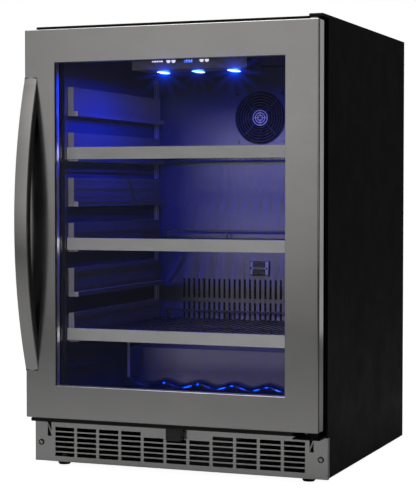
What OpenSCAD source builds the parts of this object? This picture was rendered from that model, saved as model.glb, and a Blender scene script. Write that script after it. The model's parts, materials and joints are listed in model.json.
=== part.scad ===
// Undercounter refrigerator with a framed glass door, three sliding wire shelves and a bottle rack.
// X runs to the right, Y to the back and Z up. The origin is on the floor, in the middle of the footprint.
// Inside the modules, Y is counted from the front face of the door, and in_place() moves it to the origin.

/* [Cabinet] */
// Width of the cabinet
cab_w = 604; // [600:1:606]
// Height of the cabinet's top above the floor
cab_h = 872; // [872:1:880]
// Depth from the door's front face to the cabinet's back
cab_back = 622; // [618:1:640]
// Gap between the floor and the underside of the cabinet
foot_gap = 10; // [8:1:12]
// Thickness of the painted sheet steel
sheet = 1.2; // [0.8:0.1:1.5]

/* [Door] */
// Width of the door
door_w = 600; // [596:1:600]
// Height of the door
door_h = 758; // [754:1:758]
// Depth of the door's steel edge
door_d = 31; // [28:1:31]
// Width of the steel around the window
rail_w = 64; // [60:1:66]
// Height of the door's bottom edge above the floor
door_z = 103; // [102:1:104]
// Distance of the hinge axis from the door's hinge edge
hinge_inset = 13; // [12:0.5:14]
// Distance of the hinge axis behind the door's front face
hinge_y = 15; // [14:0.5:16]

/* [Handle] */
// Length of the bowed handle
handle_h = 573; // [540:1:600]
// Width of the handle
handle_w = 26.5; // [22:0.5:30]
// How far the bow stands out from the door
handle_reach = 47; // [42:1:52]
// Thickness of the handle from its steel face to its black back
handle_t = 18; // [15:1:20]
// Height of the middle of the handle above the floor
handle_z = 482; // [470:1:495]

/* [Kick plate] */
// Height of the kick plate
kick_h = 78; // [76:1:79]
// Number of grille columns
kick_cols = 11; // [9:2:11]
// Number of grille rows
kick_rows = 6; // [4:1:6]

/* [Inside] */
// Inside width of the liner
liner_w = 481; // [478:1:482]
// Height of the inside floor above the floor of the room
liner_floor = 120; // [118:1:124]
// Height of the inside ceiling
liner_top = 825; // [820:1:828]
// Front of the step over the compressor
step_y = 361; // [355:1:365]
// Top of the step over the compressor
step_z = 210; // [206:1:212]
// Front face of the evaporator cover
cover_y = 535; // [532:1:536]
// Height of the lowest shelf runner
runner_z0 = 248; // [245:1:250]
// Distance from one shelf runner to the next
runner_pitch = 89.6; // [88:0.1:90]
// Spacing of the shelf wires
wire_pitch = 15; // [14:0.5:20]

/* [Hidden] */

$fn = 48;
eps = 0.5;                                  // how far a cutting shape runs past a face
fit = 0.05;                                 // radial clearance of a turning or sliding fit
gap = 0.2;                                  // clearance round a fixed part

front_y = -(cab_back - handle_reach) / 2;   // row position of the door's front face
cab_y = 54;                                 // front edge of the cabinet
cab_x = cab_w / 2;
in_x = cab_x - sheet;                       // inside face of the wrapper
liner_x = liner_w / 2;
liner_t = 2;
liner_back = 572;
comp_y = step_y + 32;                       // front of the compressor compartment
comp_top = step_z - 32;                     // roof of the compressor compartment
lip_x = 270;                                // half width between the cabinet's folded front edges
kick_top = foot_gap + kick_h;
kick_y = 47.5;                              // front face of the kick plate
plate_x = cab_x + 2.5;                      // half width of the kick plate
notch_x = 273;                              // notches in the kick plate's upper edge
notch_w = 8;
notch_h = 28;
pan_z = foot_gap + 2;                       // underside of the base pan
pan_t = 1.5;
floor_z = pan_z + pan_t;                    // top of the base pan
deck_z = kick_top + 2;                      // underside of the foam
door_x = door_w / 2;
door_round = 2;                             // radius of the door's front edges
door_top = door_z + door_h;
win_x = door_x - rail_w;
win_lo = door_z + rail_w;
win_hi = door_top - rail_w;
hinge_x = door_x - hinge_inset;
pin_r = 4;
foot_x = 257;
foot_front_y = 82;
foot_rear_y = 575;
stem_r = 5;
fan_z = 709;                                // axis of the evaporator fan
fan_r = 57.5;                               // radius of a fan's air hole
fan_size = 120;                             // side of a fan's square frame
fan_hole = 52.5;                            // half the spacing of a fan's screw holes
cfan_x = -190;                              // left face of the condenser fan frame
cfan_y = 500;
cfan_z = floor_z + fan_size / 2;
coil_top = comp_top - 24;                   // top of the condenser coil
lamp_x = 75;                                // spacing of the lamps
lamp_y = 171;
panel_y = 110;                              // front of the control fascia
panel_x = 120;
panel_z = 786;
button_z = 802;
button_r = 4;
button_xs = [-42, -31, 28, 39];
hole_r = 2.2;                               // clearance hole for a small screw
kick_screw_x = cab_x - 11;
kick_screw_z = foot_gap + 37;
upper_screw_x = [hinge_x - 20, hinge_x + 5];
upper_screw_z = door_top - 5;
lower_screw_x = [hinge_x - 25, hinge_x - 7];
lower_screw_z = kick_top + 8;
service_y = cab_back - 24;                  // front face of the rear service cover
service_screw_x = cab_x - 16;
service_screw_z = [floor_z + 24, comp_top - 12];
shelf_in_x = liner_x - 13.5;                // half width of a wire shelf
shelf_z = [runner_z0 + 4 * runner_pitch, runner_z0 + 2 * runner_pitch, runner_z0];
foot_t = 9.5;                               // thickness of a runner's ledge
lock_z = 77;
lock_r = 5.5;
cord_x = -180;                              // where the cord leaves the service cover
cord_z = 60;
comp_x = 95;
compressor_y = 500;
compressor_r = 70;

// ---- Helpers ----

module in_place() translate([0, front_y, 0]) children();

module slab(x, y, z)
  translate([x[0], y[0], z[0]]) cube([x[1] - x[0], y[1] - y[0], z[1] - z[0]]);

module wide(half, y, z) slab([-half, half], y, z);

module wide_at(x, half, y, z) translate([x, 0, 0]) wide(half, y, z);

// The pair of limits that starts at lo and spans size
function from(lo, size) = [lo, lo + size];

// A rectangular ring that faces the front, given by its outer and inner half widths and heights
module ring(out_x, in_x, y, out_z, in_z)
  difference() {
    wide(out_x, y, out_z);
    wide(in_x, [y[0] - eps, y[1] + eps], in_z);
  }

// A cylinder along Y from y[0] to y[1]
module rod_y(x, y, z, r) translate([x, y[0], z]) rotate([-90, 0, 0]) cylinder(h = y[1] - y[0], r = r);

// A cylinder along X from x[0] to x[1]
module rod_x(x, y, z, r) translate([x[0], y, z]) rotate([0, 90, 0]) cylinder(h = x[1] - x[0], r = r);

module rod_z(x, y, z, r) translate([x, y, z[0]]) cylinder(h = z[1] - z[0], r = r);

// A flat shape drawn in X and Z, given thickness along Y
module upright(y) translate([0, y[1], 0]) rotate([90, 0, 0]) linear_extrude(y[1] - y[0]) children();

module both() {
  children();
  mirror([1, 0, 0]) children();
}

// A slot with round ends, standing upright
module tall_slot(w, h) {
  translate([-w / 2, -h / 2 + w / 2]) square([w, h - w]);
  for (s = [-1, 1]) translate([0, s * (h - w) / 2]) circle(r = w / 2, $fn = 16);
}

// A pan-head screw along -Y: the head's face is at y, and the shank runs back from it
module screw_y(x, y, z, head_r, head_t, shank) {
  difference() {
    rod_y(x, [y, y + head_t], z, head_r);
    for (turn = [0, 90])
      translate([x, y, z]) rotate([0, turn + 45, 0])
        cube([head_r * 1.1, head_t, head_r * 0.25], center = true);
  }
  rod_y(x, [y + head_t, y + head_t + shank], z, 2);
}

// A pipe through a list of points, with a slightly larger joint at each bend
module pipe(points, r) {
  for (i = [0 : len(points) - 2]) {
    step = points[i + 1] - points[i];
    span = norm(step);
    translate(points[i])
      rotate([0, acos(step[2] / span), atan2(step[1], step[0])])
        cylinder(h = span, r = r, $fn = 24);
  }
  for (i = [1 : 1 : len(points) - 2]) translate(points[i]) sphere(r = r * 1.25, $fn = 24);
}

// Tubes that run along X, joined by square headers and crossed by flat fins
module fin_coil(x, y, z, runs, fins, tube_r) {
  pitch = (z[1] - z[0]) / runs;
  mid = (y[0] + y[1]) / 2;
  for (i = [0 : runs - 1]) rod_x([x[0] + 3, x[1] - 3], mid, z[0] + (i + 0.5) * pitch, tube_r);
  for (i = [0 : runs - 2]) {
    end_x = i % 2 == 0 ? [x[1] - 9, x[1]] : [x[0], x[0] + 9];
    slab(end_x, [mid - tube_r - 1, mid + tube_r + 1], from(z[0] + (i + 0.2) * pitch, 1.6 * pitch));
  }
  for (i = [0 : fins - 1]) {
    fin_x = x[0] + 14 + i * (x[1] - x[0] - 29) / (fins - 1);
    slab([fin_x, fin_x + 1], y, z);
  }
}

// The square frame of a fan that blows along -Y, with its front face at y = 0 and its axis at x = z = 0
module fan_frame(depth) {
  half = fan_size / 2;
  difference() {
    wide(half, [0, depth], [-half, half]);
    rod_y(0, [-eps, depth + eps], 0, fan_r);
    for (sx = [-1, 1], sz = [-1, 1]) rod_y(sx * fan_hole, [-eps, depth + eps], sz * fan_hole, hole_r);
  }
  difference() {
    union() {
      rod_y(0, [depth - 8, depth], 0, 20);
      for (turn = [45, 135]) rotate([0, turn, 0]) wide(fan_r + 1, [depth - 4, depth], [-3, 3]);
    }
    rod_y(0, [depth - 9, depth + eps], 0, 2 + fit);
  }
}

// The bladed rotor of that fan
module fan_rotor(depth) {
  rod_y(0, [4, depth - 10], 0, 18);
  rod_y(0, [depth - 10, depth - 2], 0, 2);
  for (i = [0 : 6])
    rotate([0, i * 360 / 7, 0]) translate([16, depth / 2 - 3, 0]) rotate([35, 0, 0])
      translate([0, -0.8, -11]) cube([38, 1.6, 22]);
}

// ---- Cabinet ----

module outer_wrapper() color([0.10, 0.10, 0.11]) in_place() difference() {
  union() {
    both() slab([in_x, cab_x], [cab_y, cab_back], [foot_gap, cab_h]);
    wide(in_x, [cab_y, cab_back], [cab_h - sheet, cab_h]);
    both() slab([lip_x, in_x], [cab_y, cab_y + sheet], [foot_gap + 5, cab_h - sheet]);
    wide(lip_x, [cab_y, cab_y + sheet], [liner_top + 26, cab_h - sheet]);
    wide(lip_x, [cab_y, cab_y + sheet], [kick_top - 6, door_z - 2]);
    both() slab([service_screw_x - 10, in_x], [service_y - sheet, service_y], [floor_z + 15, comp_top - 2]);
  }
  both() {
    rod_y(kick_screw_x, [cab_y - eps, cab_y + 3], kick_screw_z, hole_r);
    for (z = service_screw_z) rod_y(service_screw_x, [service_y - 3, service_y + eps], z, hole_r);
  }
  for (x = lower_screw_x) rod_y(x, [cab_y - eps, cab_y + 3], lower_screw_z, hole_r);
  for (x = upper_screw_x) rod_y(x, [cab_y - eps, cab_y + 3], upper_screw_z, hole_r);
}

module rear_panel() color([0.13, 0.13, 0.14]) in_place()
  wide(in_x, [cab_back - sheet, cab_back], [comp_top, cab_h - sheet]);

module base_pan() color([0.32, 0.33, 0.34]) in_place() difference() {
  union() {
    wide(in_x - gap, [58, cab_back - 6], [pan_z, floor_z]);
    both() slab([in_x - gap - 1.5, in_x - gap], [58, cab_back - 6], [floor_z, floor_z + 14]);
    wide(in_x - gap, [cab_back - 7.5, cab_back - 6], [floor_z, floor_z + 14]);
    for (sx = [-1, 1], y = [foot_front_y, foot_rear_y]) rod_z(sx * foot_x, y, [floor_z, floor_z + 11], 9);
  }
  for (sx = [-1, 1], y = [foot_front_y, foot_rear_y])
    rod_z(sx * foot_x, y, [pan_z - eps, floor_z + 12], stem_r + fit);
  for (sx = [-1, 1], sy = [-1, 1])
    rod_z(comp_x + sx * 55, compressor_y + sy * 55, [pan_z - eps, floor_z + eps], 4.2);
}

module deck_plate() color([0.55, 0.56, 0.57]) in_place() {
  wide(in_x, [cab_y + sheet, comp_y], [deck_z - 1, deck_z]);
  wide(in_x, [comp_y - 1, comp_y], [deck_z, comp_top]);
  wide(in_x, [comp_y, cab_back - 1], [comp_top - 1, comp_top]);
}

// The stepped inside space, grown outwards by grow
module inside_space(grow)
  rotate([90, 0, 90]) translate([0, 0, -liner_x - grow]) linear_extrude(liner_w + 2 * grow)
    polygon([
      [cab_y - eps, liner_floor - grow], [step_y + grow, liner_floor - grow],
      [step_y + grow, step_z - grow], [liner_back + grow, step_z - grow],
      [liner_back + grow, liner_top + grow], [cab_y - eps, liner_top + grow]]);

module inner_liner() color([0.22, 0.22, 0.25]) in_place() difference() {
  union() {
    intersection() {
      inside_space(liner_t);
      wide(cab_w, [cab_y, cab_back], [0, cab_h]);
    }
    wide(lip_x - gap, [cab_y, cab_y + liner_t], [door_z - 2 + gap, liner_top + 26 - gap]);
  }
  inside_space(0);
}

module insulation_foam() color([0.93, 0.86, 0.62]) in_place() difference() {
  wide(in_x, [cab_y + liner_t, cab_back - sheet], [deck_z, cab_h - sheet]);
  inside_space(liner_t);
  wide(in_x + eps, [comp_y - 1, cab_back], [deck_z - eps, comp_top]);
  for (x = upper_screw_x) rod_y(x, [cab_y, cab_y + 16], upper_screw_z, hole_r + 0.3);
  for (x = lower_screw_x) rod_y(x, [cab_y, cab_y + 16], lower_screw_z, hole_r + 0.3);
}

module shelf_runners() color([0.34, 0.34, 0.38]) in_place()
  both() for (i = [0 : 5]) {
    z = runner_z0 + i * runner_pitch;
    slab([liner_x - 12, liner_x], [69, 508], [z, z + 57]);
    slab([liner_x - 21.5, liner_x - 12], [69, 508], [z, z + foot_t]);
    slab([liner_x - 6, liner_x], [508, 530], [z + 4, z + 12]);
  }

// A moulded tray with a wavy, front-rounded bolster near each end, whose hollows cradle lying bottles
module bottle_rack() color([0.06, 0.06, 0.07]) in_place() {
  pitch = 77.5;
  crest_x = 10;
  rise = 4.5;
  mean_z = liner_floor + 24;
  top_z = mean_z + rise;
  half = liner_x - 2.5;
  front = 82;
  rear = step_y - 4;
  deep = 32;
  round = 20;
  steps = 72;
  wave = [
    for (i = [0 : steps])
      let (x = -half + i * 2 * half / steps) [x, mean_z + rise * cos((x - crest_x) * 360 / pitch)]];
  wide(half, [front, rear], [liner_floor, liner_floor + 3]);
  for (y = [front, rear - deep])
    intersection() {
      upright([y, y + deep]) polygon(concat(wave, [[half, liner_floor], [-half, liner_floor]]));
      union() {
        wide(half, [y, y + deep], [liner_floor, top_z - round]);
        wide(half, [y + round, y + deep], [liner_floor, top_z]);
        rod_x([-half, half], y + round, top_z - round, round);
      }
    }
}

// ---- Cooling inside ----

module evaporator_cover() color([0.30, 0.30, 0.34]) in_place() difference() {
  vent_pitch = 12.1;
  vent_rows = [[329.7, 44.3], [279.8, 40.4]];   // the middle height and the length of each row of slots
  union() {
    wide(liner_x - gap, [cover_y, cover_y + 2], [step_z + gap, liner_top - gap]);
    both() slab([liner_x - gap - 2, liner_x - gap], [cover_y + 2, liner_back - gap],
                [step_z + gap, liner_top - gap]);
  }
  rod_y(0, [cover_y - eps, cover_y + 3], fan_z, fan_r);
  for (sx = [-1, 1], sz = [-1, 1])
    rod_y(sx * fan_hole, [cover_y - eps, cover_y + 3], fan_z + sz * fan_hole, hole_r);
  upright([cover_y - eps, cover_y + 3])
    for (i = [-15 : 15], row = vent_rows) translate([i * vent_pitch, row[0]]) tall_slot(5, row[1]);
  wide(14, [cover_y - eps, cover_y + 3], [366, 388]);
}

module evaporator_coil() color([0.72, 0.73, 0.74]) in_place()
  fin_coil([-205, 205], [542, 566], [400, 600], 5, 15, 4);

module evap_fan_frame() color([0.09, 0.09, 0.10]) in_place()
  translate([0, cover_y + 2, fan_z]) fan_frame(25);

module evap_fan_rotor() color([0.12, 0.12, 0.13]) in_place()
  translate([0, cover_y + 2, fan_z]) fan_rotor(25);

module evap_fan_guard() color([0.10, 0.10, 0.11]) in_place() translate([0, cover_y - 3, fan_z]) {
  for (i = [0 : 7])
    rotate([-90, 0, 0]) difference() {
      cylinder(h = 1.6, r = 12 + i * 6.7);
      translate([0, 0, -eps]) cylinder(h = 3, r = 10.4 + i * 6.7);
    }
  rod_y(0, [0, 1.6], 0, 4);
  for (turn = [45, 135]) rotate([0, turn, 0]) wide(60, [1.2, 3], [-0.9, 0.9]);
}

module fan_guard_screws() color([0.14, 0.14, 0.15]) in_place()
  for (sx = [-1, 1], sz = [-1, 1])
    screw_y(sx * fan_hole, cover_y - 2.4, fan_z + sz * fan_hole, 4, 2.4, 16);

module sensor_cover() color([0.26, 0.26, 0.30]) in_place() difference() {
  wide(22, [cover_y - 6, cover_y], [361.5, 392.5]);
  wide(13, [cover_y - 4, cover_y + eps], [365, 389]);
  for (sx = [-1, 1], i = [0 : 4])
    translate([sx * 6.5, cover_y - 5, 369.5 + i * 3.6]) cube([10, 4, 1.6], center = true);
}

// ---- Control panel and lamps ----

module control_housing() color([0.12, 0.12, 0.13]) in_place() difference() {
  union() {
    wide(panel_x - 2, [panel_y + 14, panel_y + 80], [panel_z, liner_top]);
    slab([panel_x - 2, panel_x + 5], [panel_y + 10, panel_y + 75], [panel_z - 9, liner_top]);
  }
  wide(panel_x - 4, [panel_y + 16, panel_y + 78], [panel_z + 2, liner_top + eps]);
  for (i = [-1 : 1])
    wide_at(i * lamp_x, 12 + gap, [lamp_y - 6 - gap, lamp_y + 6 + gap], [panel_z - eps, panel_z + 3]);
}

module control_fascia() color([0.20, 0.20, 0.20]) in_place() difference() {
  union() {
    wide(panel_x, [panel_y, panel_y + 3], [panel_z, liner_top]);
    for (sx = [-1, 1]) wide_at(sx * (panel_x - 3.5), 1.5, [panel_y + 3, panel_y + 14], [panel_z, liner_top]);
  }
  for (x = button_xs) rod_y(x, [panel_y - eps, panel_y + 4], button_z, button_r + fit);
}

module button(i) color([0.16, 0.16, 0.17]) in_place() {
  rod_y(button_xs[i], [panel_y - 1, panel_y + 5], button_z, button_r);
  rod_y(button_xs[i], [panel_y + 5, panel_y + 7], button_z, button_r + 0.9);
}

module button_power() button(0);
module button_light() button(1);
module button_up() button(2);
module button_down() button(3);

module led_lenses() color([0.35, 0.55, 1.0]) in_place()
  for (i = [-1 : 1]) {
    wide_at(i * lamp_x, 12, [lamp_y - 6, lamp_y + 6], [panel_z - 2, panel_z + 4]);
    wide_at(i * lamp_x, 9, [lamp_y - 4, lamp_y + 4], [panel_z - 4, panel_z - 2]);
  }

// ---- Kick plate ----

module kick_plate() color([0.44, 0.43, 0.42]) in_place() {
  col_w = 41.6;
  col_pitch = 47.9;
  row_h = 7.4;
  row_pitch = 10.1;
  top_row = foot_gap + 61.2;
  lock_notch = [foot_gap + 60, kick_top + eps];
  mid = (kick_cols - 1) / 2;
  cut = [kick_y - eps, kick_y + sheet + eps];
  difference() {
    wide(plate_x, [kick_y, kick_y + sheet], [foot_gap, kick_top]);
    for (c = [0 : kick_cols - 1], r = [0 : kick_rows - 1])
      if (!(r == 0 && abs(c - mid) <= 1))
        wide_at((c - mid) * col_pitch, col_w / 2, cut, from(top_row - r * row_pitch, row_h));
    both() wide_at(notch_x, notch_w / 2, cut, [kick_top - notch_h, kick_top + eps]);
    wide(16, cut, lock_notch);
    both() rod_y(kick_screw_x, cut, kick_screw_z, hole_r);
  }
  both() {
    slab([in_x, cab_x], [kick_y + sheet, cab_y], [foot_gap, kick_top]);
    slab([plate_x - sheet, plate_x], [kick_y + sheet, cab_y + 5], [foot_gap, kick_top]);
  }
}

module kick_plate_screws() color([0.12, 0.12, 0.13]) in_place()
  both() screw_y(kick_screw_x, kick_y - 2.2, kick_screw_z, 6, 2.2, 14);

// A folded spring behind each notch, fixed below it, which holds the kick plate by its edge
module kick_plate_clips() color([0.62, 0.62, 0.62]) in_place()
  both() translate([notch_x, 0, kick_top - notch_h]) {
    translate([0, 0, notch_h / 2]) rotate([0, 22, 0])
      wide(1.2, [kick_y + sheet + gap, cab_y - 0.8], [-17, 12]);
    wide(9, [cab_y - 0.8, cab_y], [-12, -1]);
  }

// ---- Hinges ----

// A bracket screwed to the cabinet's front edge above the door, with the pin that the door turns on
module top_hinge() color([0.12, 0.12, 0.13]) in_place() difference() {
  plate_z = [door_top + 3, door_top + 6];
  union() {
    slab([hinge_x - 27, hinge_x + 13], [cab_y - 12, cab_y - gap], plate_z);
    slab([hinge_x - 9, hinge_x + 9], [hinge_y - 6, cab_y - 12], plate_z);
    slab([hinge_x - 27, hinge_x + 13], [cab_y - 3, cab_y - gap], [door_top - 12, door_top + 3]);
    rod_z(hinge_x, hinge_y, [door_top - 18, door_top + 3], pin_r);
  }
  for (x = upper_screw_x) rod_y(x, [cab_y - 4, cab_y + eps], upper_screw_z, hole_r);
}

module top_hinge_cap() color([0.05, 0.05, 0.06]) in_place() difference() {
  slab([hinge_x - 11, cab_x], [hinge_y + 2, cab_y - gap], [door_top + 6, cab_h]);
  slab([hinge_x - 9, cab_x - 2], [hinge_y + 4, cab_y - 2], [door_top + 5, cab_h - 2]);
}

module bottom_hinge() color([0.16, 0.16, 0.17]) in_place() difference() {
  union() {
    slab([hinge_x - 38, cab_x - 1], [6, cab_y - gap], [kick_top + 1, kick_top + 4]);
    slab([hinge_x - 38, cab_x - 1], [cab_y - 2.4, cab_y], [kick_top + 1, door_z - 2]);
    rod_z(hinge_x, hinge_y, [kick_top + 4, door_z + 20], pin_r);
    rod_z(hinge_x, hinge_y, [kick_top + 4, door_z - 1.5], 8);
  }
  for (x = lower_screw_x) rod_y(x, [cab_y - 3, cab_y + eps], lower_screw_z, hole_r);
}

module hinge_screws() color([0.50, 0.50, 0.50]) in_place() {
  for (x = upper_screw_x) screw_y(x, cab_y - 5, upper_screw_z, 3.4, 2, 14);
  for (x = lower_screw_x) screw_y(x, cab_y - 4.4, lower_screw_z, 3.4, 2, 14);
}

// ---- Compressor compartment ----

module compressor() color([0.07, 0.07, 0.08]) in_place() {
  base = floor_z + 16;
  translate([comp_x, compressor_y, base]) {
    rotate_extrude() polygon(concat(
      [[0, 0], [compressor_r - 14, 0]],
      [for (a = [-90 : 15 : 0]) [compressor_r - 14 + 14 * cos(a), 14 + 14 * sin(a)]],
      [for (a = [0 : 15 : 90]) [compressor_r - 34 + 34 * cos(a), 86 + 34 * sin(a)]],
      [[0, 122]]));
    rod_z(0, 0, [52, 58], compressor_r + 3);
    rod_z(-30, -20, [100, 122], 6);
    rod_z(20, 30, [100, 122], 7);
  }
  difference() {
    translate([comp_x, compressor_y, 0])
      for (turn = [45, 135]) rotate([0, 0, turn]) wide(90, [-16, 16], [base - 3, base + 3]);
    for (sx = [-1, 1], sy = [-1, 1]) rod_z(comp_x + sx * 55, compressor_y + sy * 55, [base - 4, base + 4], 5.2);
  }
}

module compressor_mounts() color([0.05, 0.05, 0.05]) in_place()
  for (sx = [-1, 1], sy = [-1, 1]) translate([comp_x + sx * 55, compressor_y + sy * 55, 0]) {
    rod_z(0, 0, [pan_z, floor_z], 4);
    rod_z(0, 0, [floor_z, floor_z + 13], 10);
    rod_z(0, 0, [floor_z + 13, floor_z + 21], 5);
    rod_z(0, 0, [floor_z + 19 + gap, floor_z + 23], 8);
  }

module starter_cover() color([0.10, 0.10, 0.11]) in_place()
  difference() {
    slab([comp_x + compressor_r - 6, comp_x + compressor_r + 32], [compressor_y - 26, compressor_y + 26],
         [floor_z + 34, floor_z + 66]);
    rod_z(comp_x, compressor_y, [floor_z + 30, floor_z + 70], compressor_r + 0.5);
  }

module condenser_coil() color([0.20, 0.20, 0.21]) in_place()
  translate([-232, 0, 0]) rotate([0, 0, 90])
    fin_coil([comp_y + 8, 560], [0, 44], [floor_z, coil_top], 5, 13, 4);

module cond_fan_frame() color([0.09, 0.09, 0.10]) in_place()
  translate([cfan_x, cfan_y, cfan_z]) rotate([0, 0, -90]) fan_frame(25);

module cond_fan_rotor() color([0.30, 0.31, 0.32]) in_place()
  translate([cfan_x, cfan_y, cfan_z]) rotate([0, 0, -90]) fan_rotor(25);

module drain_pan() color([0.80, 0.80, 0.78]) in_place() difference() {
  slab([-140, 0], [comp_y + 12, 590], [floor_z, floor_z + 26]);
  slab([-138, -2], [comp_y + 14, 588], [floor_z + 2, floor_z + 27]);
}

module refrigerant_lines() color([0.72, 0.45, 0.28]) in_place() {
  top = comp_top - 12;
  head = floor_z + 138;
  out_y = compressor_y - 20;
  back_y = compressor_y + 30;
  pipe([[comp_x - 30, out_y, head], [comp_x - 30, out_y, top], [-254, out_y, top], [-254, out_y, coil_top]], 3);
  pipe([[comp_x + 20, back_y, head], [comp_x + 20, back_y, top + 3], [230, back_y, top + 3],
        [230, back_y, floor_z + 90]], 4);
  rod_z(230, back_y, [floor_z + 30, floor_z + 92], 9);
}

module power_cord() color([0.06, 0.06, 0.06]) in_place() {
  y = cab_back - 12;
  high = cord_z + 70;
  pipe([[cord_x, service_y - 6, cord_z], [cord_x, y, cord_z], [cord_x, y, high], [60, y, high],
        [60, y, cord_z + 10], [-60, y, cord_z + 10]], 4);
  slab([-96, -58], [y - 9, y + 9], [cord_z, cord_z + 20]);
  for (z = [6, 14]) slab([-112, -96], [y - 3, y + 3], from(cord_z + z - 1, 2));
}

module rear_service_cover() color([0.13, 0.13, 0.14]) in_place() difference() {
  wide(in_x - 2, [service_y, service_y + sheet], [floor_z + 16, comp_top - 1 - gap]);
  for (side = [-1, 1], i = [0 : 7])
    wide_at(side * 130, 70, [service_y - eps, service_y + 2], from(floor_z + 36 + i * 13, 5));
  rod_y(cord_x, [service_y - eps, service_y + 2], cord_z, 6);
  both() for (z = service_screw_z) rod_y(service_screw_x, [service_y - eps, service_y + 2], z, hole_r);
}

module rear_cover_screws() color([0.50, 0.50, 0.50]) in_place()
  for (sx = [-1, 1], z = service_screw_z)
    translate([sx * service_screw_x, service_y + sheet + 1.8, z]) mirror([0, 1, 0]) screw_y(0, 0, 0, 4, 1.8, 6);

// ---- Levelling feet ----

module levelling_foot(x, y) color([0.10, 0.10, 0.10]) in_place() translate([x, y, 0]) {
  cylinder(h = 2, r = 11);
  translate([0, 0, 2]) cylinder(h = 7, r = 12.5);
  translate([0, 0, 9]) cylinder(h = 42, r = stem_r);
}

module foot_front_left() levelling_foot(-foot_x, foot_front_y);
module foot_front_right() levelling_foot(foot_x, foot_front_y);
module foot_rear_left() levelling_foot(-foot_x, foot_rear_y);
module foot_rear_right() levelling_foot(foot_x, foot_rear_y);

// ---- Door ----

// A block whose four upright and level front edges are rounded to radius r
module soft_block(half, y, z, r) {
  wide(half - r, [y[0], y[1]], z + [r, -r]);
  wide(half, [y[0] + r, y[1]], z + [r, -r]);
  wide(half - r, [y[0] + r, y[1]], z);
  both() rod_z(half - r, y[0] + r, z + [r, -r], r);
  for (h = z + [r, -r]) rod_x([-half + r, half - r], y[0] + r, h, r);
  both() for (h = z + [r, -r]) {
    rod_y(half - r, [y[0] + r, y[1]], h, r);
    translate([half - r, y[0] + r, h]) sphere(r = r);
  }
}

module door_frame() color([0.50, 0.49, 0.48]) in_place() difference() {
  soft_block(door_x, [0, door_d], [door_z, door_top], door_round);
  wide(door_x - sheet, [sheet, door_d + eps], [door_z + sheet, door_top - sheet]);
  wide(win_x, [-eps, 2], [win_lo, win_hi]);
  for (z = [[door_z - eps, door_z + 2], [door_top - 2, door_top + eps]]) rod_z(hinge_x, hinge_y, z, 8 + gap);
}

// The plastic frame behind the steel, which also carries a strip that fills the gap above the kick plate
module door_inner_frame() color([0.06, 0.06, 0.07]) in_place() {
  lip = win_x - 0.5;
  seat = win_x + 8;
  out = door_x - sheet - gap;
  strip_x = [-door_x, hinge_x - 42];
  strip_z = [door_z - 10.5, door_z - 4];
  web = [door_d + gap, door_d + 3];
  difference() {
    union() {
      ring(out, lip, [sheet, door_d], [door_z + sheet + gap, door_top - sheet - gap],
           [win_lo + 0.5, win_hi - 0.5]);
      ring(hinge_x, win_x + 10, [door_d, 44], [door_z + 14, door_top - 14], [win_lo - 10, win_hi + 10]);
      slab(strip_x, [21, web[1]], strip_z);
      slab(strip_x, web, [strip_z[0], door_z + 14]);
    }
    wide(seat + gap, [5, 23.4], [win_lo - 8 - gap, win_hi + 8 + gap]);
    wide(15 + gap, [30 - gap, web[1] + eps], [strip_z[0] - eps, door_z + gap]);
    for (z = [[door_z, door_z + 30], [door_top - 30, door_top]]) rod_z(hinge_x, hinge_y, z, 8 + gap);
  }
}

module glass_panes() color([0.60, 0.66, 0.72, 0.25]) in_place()
  for (y = [5.2, 19.2]) wide(win_x + 8, [y, y + 4], [win_lo - 8, win_hi + 8]);

module glass_spacer() color([0.55, 0.56, 0.58]) in_place()
  ring(win_x + 8, win_x - 0.5, [9.2, 19.2], [win_lo - 8, win_hi + 8], [win_lo + 0.5, win_hi - 0.5]);

module door_gasket() color([0.30, 0.30, 0.32]) in_place() difference() {
  ring(hinge_x - 2, win_x + 14, [44, cab_y - 0.3], [door_z + 16, door_top - 16], [win_lo - 14, win_hi + 14]);
  ring(hinge_x - 10, win_x + 22, [47, cab_y], [door_z + 24, door_top - 24], [win_lo - 22, win_hi + 22]);
}

module door_bushings() color([0.85, 0.85, 0.82]) in_place()
  for (z = [[door_z - 1, door_z + 28], [door_top - 28, door_top + 2.5]])
    difference() {
      rod_z(hinge_x, hinge_y, z, 8);
      rod_z(hinge_x, hinge_y, z + [-eps, eps], pin_r + fit);
    }

// The side outline of the handle between two depths behind its bowed face
module bow(near, far) {
  chord = handle_h / 2;
  radius = (chord * chord + handle_reach * handle_reach) / (2 * handle_reach);
  translate([-door_x, 0, handle_z]) rotate([90, 0, 90]) linear_extrude(handle_w)
    intersection() {
      difference() {
        translate([radius - handle_reach, 0]) circle(r = radius - near, $fn = 360);
        translate([radius - handle_reach, 0]) circle(r = radius - far, $fn = 360);
      }
      translate([-handle_reach - 1, -chord]) square([handle_reach + 1, handle_h]);
    }
}

module handle_bar() color([0.52, 0.51, 0.50]) in_place() bow(0, 5);
module handle_back() color([0.05, 0.05, 0.05]) in_place() bow(5, handle_t);

module lock_housing() color([0.20, 0.20, 0.20]) in_place() difference() {
  wide(15, [30, 46], [lock_z - 9, door_z]);
  rod_y(0, [30 - eps, 46 + eps], lock_z, lock_r + fit);
}

module lock_barrel() color([0.45, 0.45, 0.46]) in_place() difference() {
  union() {
    rod_y(0, [30, 51.6], lock_z, lock_r);
    slab([-4, 4], [51.6, 53.6], [lock_z - 5, lock_z + 23]);
  }
  wide(0.5, [29, 30.5], [lock_z - 3.5, lock_z + 3.5]);
}

// ---- Shelves ----

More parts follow.
